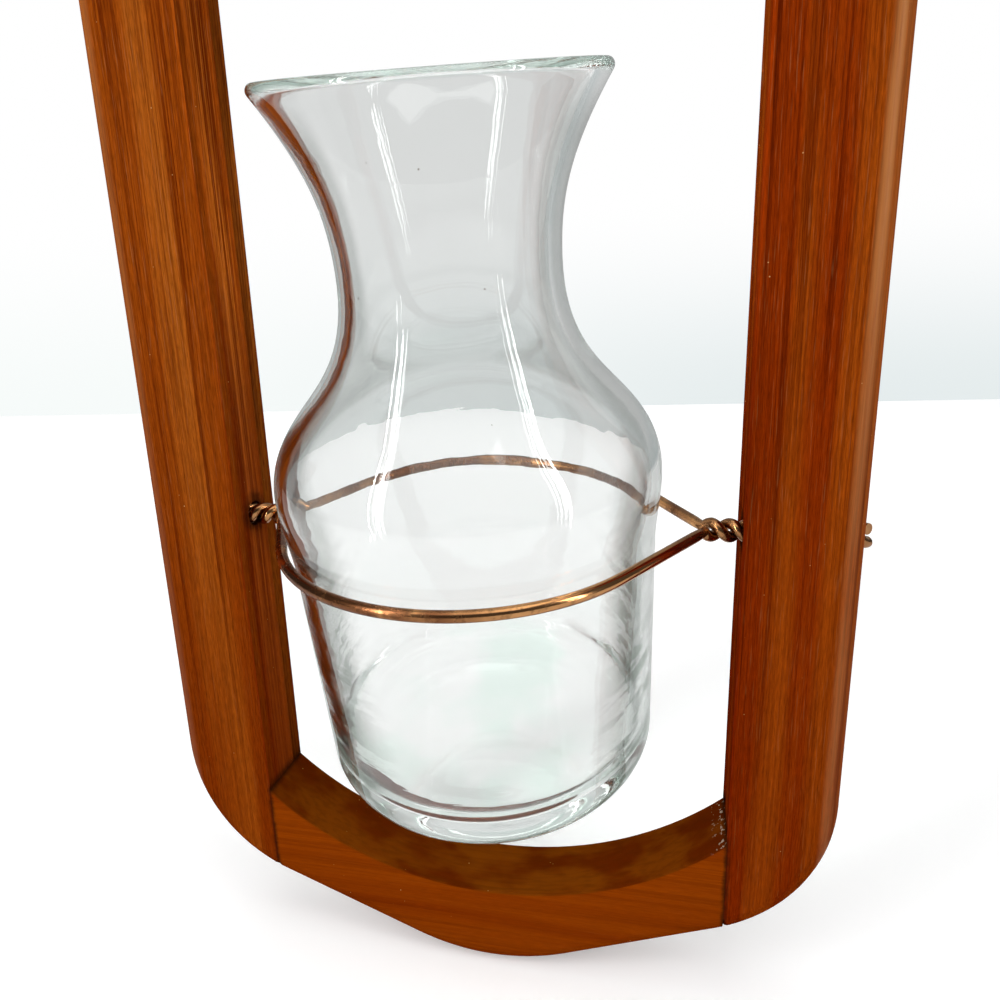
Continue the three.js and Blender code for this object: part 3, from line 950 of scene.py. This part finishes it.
def makeMetal(name):
    finish, wear = metalFinishes[name], metalWear
    made, tree, shader, place = newMaterial(name)
    parts = axesOf(tree, place)
    front = times(tree, remap(tree, parts["X"], *wear["frontAcross"]),
                  remap(tree, parts["Y"], *wear["frontDepth"], 1, 0))
    ends = remap(tree, sizeOf(tree, parts["X"]), *wear["endSpan"], 0, wear["endShare"])
    worn = times(tree, larger(tree, front, ends), finish["worn"])
    look = placeGroup(tree, tarnish, {"Place": place, "Worn": worn, "Bright": finish["bright"],
                                      "Brown": finish["brown"], "Deep": finish["deep"]})
    feed(tree, shader, {
        "Base Color": look["Color"],
        "Roughness": look["Roughness"],
        "Normal": addBump(tree, look["Height"], wear["bump"], wear["bumpDepth"]),
        "Metallic": 1,
    })
    return made


tarnish = makeTarnish()
copper = makeMetal("agedCopper")
frontWire.data.materials.append(copper)
backWire.data.materials.append(copper)
screwEye.data.materials.append(makeMetal("eyeBrass"))
print("metal finished")

# Clear glass, faintly green where it is thick

glassFinish = {
    "clear": (0.965, 0.975, 0.97, 1),
    "index": 1.5,
    "depthTint": (0.73, 0.84, 0.79, 1),
    "depthDensity": 6,
    "shadowTint": (0.9, 0.93, 0.92, 1),
    "soft": dict(scale=70, stretched=(1, 1, 2)),
    "drawn": dict(scale=420, stretched=(1, 1, 0.15), detail=3),
    "drawnShare": 0.07,
    "chills": dict(scale=330, stretched=(0.12, 0.12, 1), detail=3, rough=0.6),
    "chillShare": 0.5,
    "chillLow": 4 * mm,
    "chillTop": 40 * mm,
    "bump": 0.07,
    "bumpDepth": 1 * mm,
    # painted shade where the glass is seen edge on, for the dark room seen through its edges: streaks on the
    # body, fine lines up the neck and a dark outline
    "edgeOnShade": (0.1, 0.13, 0.105, 1),
    "bodyEdgeStreaks": dict(scale=400, cut=(0.45, 0.54), stretched=(0.22, 0.22, 1), to=(0.15, 1)),
    "bodyStreakFacing": (0.43, 0.66),
    "bodyEnd": 30 * mm,
    "neckEdgeLines": dict(scale=300, cut=(0.42, 0.6), stretched=(1, 1, 0.02), detail=1, to=(0.3, 0.75)),
    "neckLineFacing": (0.45, 0.85),
    "neckStart": 86 * mm,
    "lipStart": 118 * mm,
    "outlineFacing": (0.46, 0.64),
    "outlineShare": 0.62,
    "heel": (0.84, 0.95, 0.9, 1),
    "heelTop": 9 * mm,
    "heelPatches": dict(scale=55, cut=(0.42, 0.62)),
    "speck": (0.3, 0.25, 0.2, 1),
    "speckScale": 95,
    "speckSize": (0.015, 0.03),
    "speckPatches": dict(scale=60, cut=(0.5, 0.56), detail=1),
}


def glassWaves(tree, upright, height):  # soft waves, drawn lines up the neck, chill rings by the foot
    finish = glassFinish
    drawn = times(tree, pattern(tree, upright, **finish["drawn"]), finish["drawnShare"])
    nearFoot = remap(tree, height, finish["chillLow"], finish["chillTop"], finish["chillShare"], 0)
    chilled = times(tree, pattern(tree, upright, **finish["chills"]), nearFoot)
    return plus(tree, plus(tree, pattern(tree, upright, **finish["soft"]), drawn), chilled)


def glassTone(tree, upright, height):  # painted shade where it is seen edge on, in streaks on the body and fine lines up the neck, green patches, a few specks
    v, finish = glassVase, glassFinish
    facing = addNode(tree, "LayerWeight", {"Blend": 0.5}).outputs["Facing"]
    belowLip = remap(tree, height, finish["lipStart"], v["height"], 1, 0)
    onBody = remap(tree, height, finish["bodyEnd"], v["shoulderHeight"], 1, 0)
    onNeck = times(tree, belowLip, remap(tree, height, finish["neckStart"], v["neckHeight"]))
    bodyEdgeStreaks = times(tree, pattern(tree, upright, **finish["bodyEdgeStreaks"]), onBody,
                     remap(tree, facing, *finish["bodyStreakFacing"]))
    neckEdgeLines = times(tree, pattern(tree, upright, **finish["neckEdgeLines"]), onNeck,
                  remap(tree, facing, *finish["neckLineFacing"]))
    outline = times(tree, remap(tree, facing, *finish["outlineFacing"], 0, finish["outlineShare"]), belowLip)
    edgeOnShade = larger(tree, larger(tree, bodyEdgeStreaks, neckEdgeLines), outline)
    green = times(tree, remap(tree, height, finish["chillLow"], finish["heelTop"], 1, 0),
                  pattern(tree, upright, **finish["heelPatches"]))
    tone = blend(tree, green, finish["clear"], finish["heel"])
    tone = blend(tree, edgeOnShade, tone, finish["edgeOnShade"])
    cells = addNode(tree, "TexVoronoi", {"Vector": upright, "Scale": finish["speckScale"]})
    specks = times(tree, remap(tree, cells.outputs["Distance"], *finish["speckSize"], 1, 0),
                   pattern(tree, upright, **finish["speckPatches"]))
    return blend(tree, specks, tone, finish["speck"])


def makeGlass():
    v, finish = glassVase, glassFinish
    made, tree, shader, place = newMaterial("clearGlass")
    centre = (v["offset"], 0, woodFrame["wireAxis"])
    upright = addNode(tree, "VectorRotate", {"Vector": place, "Center": centre, "Angle": -v["lean"]},
                      rotation_type="X_AXIS").outputs[0]
    height = plus(tree, axesOf(tree, upright)["Z"], v["seatHeight"] - woodFrame["wireAxis"])
    waves = glassWaves(tree, upright, height)
    feed(tree, shader, {
        "Base Color": glassTone(tree, upright, height),
        "Roughness": 0,
        "IOR": finish["index"],
        "Transmission Weight": 1,
        "Normal": addBump(tree, waves, finish["bump"], finish["bumpDepth"]),
    })
    path = tree.nodes.new("ShaderNodeLightPath").outputs
    letThrough = addNode(tree, "BsdfTransparent", {"Color": finish["shadowTint"]})
    mixed = addNode(tree, "MixShader", {0: path["Is Shadow Ray"], 1: shader.outputs[0],
                                        2: letThrough.outputs[0]})
    tint = addNode(tree, "VolumeAbsorption", {"Color": finish["depthTint"],
                                              "Density": finish["depthDensity"]})
    feed(tree, tree.nodes["Material Output"], {"Surface": mixed.outputs[0], "Volume": tint.outputs[0]})
    return made


vase.data.materials.append(makeGlass())
print("glass finished")

# Stage: white table, pale backdrop and soft studio light

studio = {
    "tableGap": 0.4 * mm,
    "tableWidth": 2.4,
    "tableBeyond": 0.2,
    "tableGlow": (0.26, 0.52),
    "tableSpan": (0.1, 0.6),
    "tableTone": (0.86, 0.86, 0.86, 1),
    "tablePaper": (0.8, 0.8, 0.8, 1),
    "backEdge": 0.76,
    "backTurn": math.radians(8),
    "hazeLeft": (0.93, 0.965, 0.955, 1),
    "hazeRight": (0.79, 0.845, 0.85, 1),
    "hazeSpan": (-0.6, 0.25),
    "hazeHeight": 0.22,
    "throughGlass": 0.74,
    "tableThroughGlass": 0.78,
    "target": Vector((0, 0, -0.16)),
    "roomLight": 0.36,
    "roomGloss": 0.1,
    "paneLevel": 0.28,
    "paneHeight": 1.1,
    "panes": [  # place, width, power and slant
        ("leftPane", (-0.5, -0.6), 0.034, 3.5, 9),
        ("leftSidePane", (-0.55, -0.55), 0.01, 1.4, 9),
        ("rightPane", (0.71, -0.29), 0.036, 1.9, 0),
        ("rightSidePane", (0.68, -0.36), 0.012, 0.8, 0),
    ],
    "stripLevel": 1 * mm,
    "stripLength": 0.34,
    "strips": [  # place, width and power
        ("leftStrip", (-0.384, -0.461), 0.009, 0.1),
        ("rightStrip", (0.555, -0.227), 0.009, 0.07),
    ],
    "topPlace": Vector((0, -0.2, 0.9)),
    "topSize": 1.2,
    "topPower": 6.5,
    "bounces": 128,
}


# How white it is for the camera, and for what is seen through glass
def seenDirectly(tree, path, throughGlass):
    through = times(tree, path["Is Transmission Ray"], throughGlass)
    return larger(tree, path["Is Camera Ray"], through)


def roomShare(tree):  # the same, with what metal and glass reflect of the room
    path = tree.nodes.new("ShaderNodeLightPath").outputs
    direct = seenDirectly(tree, path, studio["throughGlass"])
    glossy = path["Is Glossy Ray"]
    return larger(tree, direct, times(tree, glossy, studio["roomGloss"])), glossy


def makePaper(name):  # lit by the lamps, with a share of its own white where it is seen
    made, tree, shader, place = newMaterial(name)
    tree.nodes.remove(shader)
    far = axesOf(tree, place)["Y"]
    glowing = remap(tree, far, *studio["tableSpan"], *studio["tableGlow"])
    paper = addNode(tree, "BsdfDiffuse", {"Color": studio["tablePaper"]})
    faint = addNode(tree, "BsdfDiffuse", {"Color": studio["tableTone"]})
    glow = addNode(tree, "Emission", {"Color": white, "Strength": glowing})
    both = addNode(tree, "AddShader", {0: faint.outputs[0], 1: glow.outputs[0]})
    path = tree.nodes.new("ShaderNodeLightPath").outputs
    direct = seenDirectly(tree, path, studio["tableThroughGlass"])
    mixed = addNode(tree, "MixShader", {0: direct, 1: paper.outputs[0], 2: both.outputs[0]})
    feed(tree, tree.nodes["Material Output"], {"Surface": mixed.outputs[0]})
    return made


def makeHaze(name, level):  # pale blue grey just above the table's back edge, white higher up
    made, tree, shader, place = newMaterial(name)
    tree.nodes.remove(shader)
    parts = axesOf(tree, place)
    rise = remap(tree, parts["Z"], level, level + studio["hazeHeight"])
    sideways = remap(tree, parts["X"], *studio["hazeSpan"])
    low = blend(tree, sideways, studio["hazeLeft"], studio["hazeRight"])
    share = larger(tree, roomShare(tree)[0], studio["roomLight"])
    glow = addNode(tree, "Emission", {"Color": blend(tree, rise, low, white), "Strength": share})
    feed(tree, tree.nodes["Material Output"], {"Surface": glow.outputs[0]})
    return made


def addSheet(name):
    deselectAll()
    bpy.ops.mesh.primitive_plane_add(size=studio["tableWidth"])
    sheet = bpy.context.object
    sheet.name = name
    bpy.ops.object.mode_set(mode="EDIT")
    bpy.ops.mesh.select_all(action="SELECT")
    return sheet


def layStage():
    level = bottomTip - studio["tableGap"]
    half = studio["tableWidth"] / 2
    table = addSheet("table")
    bpy.ops.transform.translate(value=(0, studio["backEdge"] + studio["tableBeyond"] - half, level))
    bpy.ops.object.mode_set(mode="OBJECT")
    table.data.materials.append(makePaper("tableWhite"))
    backdrop = addSheet("backdrop")
    bpy.ops.transform.rotate(value=quarterTurn, orient_axis="X", center_override=(0, 0, 0))
    bpy.ops.transform.rotate(value=-studio["backTurn"], orient_axis="Z", center_override=(0, 0, 0))
    bpy.ops.transform.translate(value=(0, studio["backEdge"], level + half))
    bpy.ops.object.mode_set(mode="OBJECT")
    backdrop.data.materials.append(makeHaze("paleHaze", level))


def addLamp(name, place, width, height, power, shape="ELLIPSE"):
    deselectAll()
    bpy.ops.object.light_add(type="AREA", location=place)
    lamp = bpy.context.object
    lamp.name = name
    lamp.data.shape = shape
    lamp.data.size = width
    lamp.data.size_y = height
    lamp.data.energy = power
    lamp.visible_camera = False
    return lamp


def lightStage():
    s = studio
    for name, place, width, power, slant in s["panes"]:
        pane = addLamp(name, (*place, s["paneLevel"]), width, s["paneHeight"], power)
        aim = Vector((-place[0], -place[1], 0)).to_track_quat("-Z", "Y")
        pane.rotation_euler = (aim @ Quaternion((0, 0, 1), math.radians(slant))).to_euler()
    for name, place, width, power in s["strips"]:
        strip = addLamp(name, (*place, bottomTip + s["stripLevel"]), width, s["stripLength"], power)
        strip.rotation_euler = (math.pi, 0, math.atan2(-place[0], place[1]))
    top = addLamp("topSoft", s["topPlace"], s["topSize"], s["topSize"], s["topPower"], "RECTANGLE")
    top.rotation_euler = (s["target"] - s["topPlace"]).to_track_quat("-Z", "Y").to_euler()


def lightRoom():
    world = bpy.data.worlds.new("studio")
    bpy.context.scene.world = world
    world.use_nodes = True
    tree = world.node_tree
    share, glossy = roomShare(tree)
    soft = times(tree, minus(tree, 1, glossy), studio["roomLight"])
    feed(tree, tree.nodes["Background"], {"Color": white, "Strength": larger(tree, share, soft)})
    bpy.context.scene.view_settings.view_transform = "Standard"
    cycles = bpy.context.scene.cycles
    cycles.max_bounces = cycles.transmission_bounces = cycles.glossy_bounces = studio["bounces"]


layStage()
lightStage()
lightRoom()
print("stage lit")
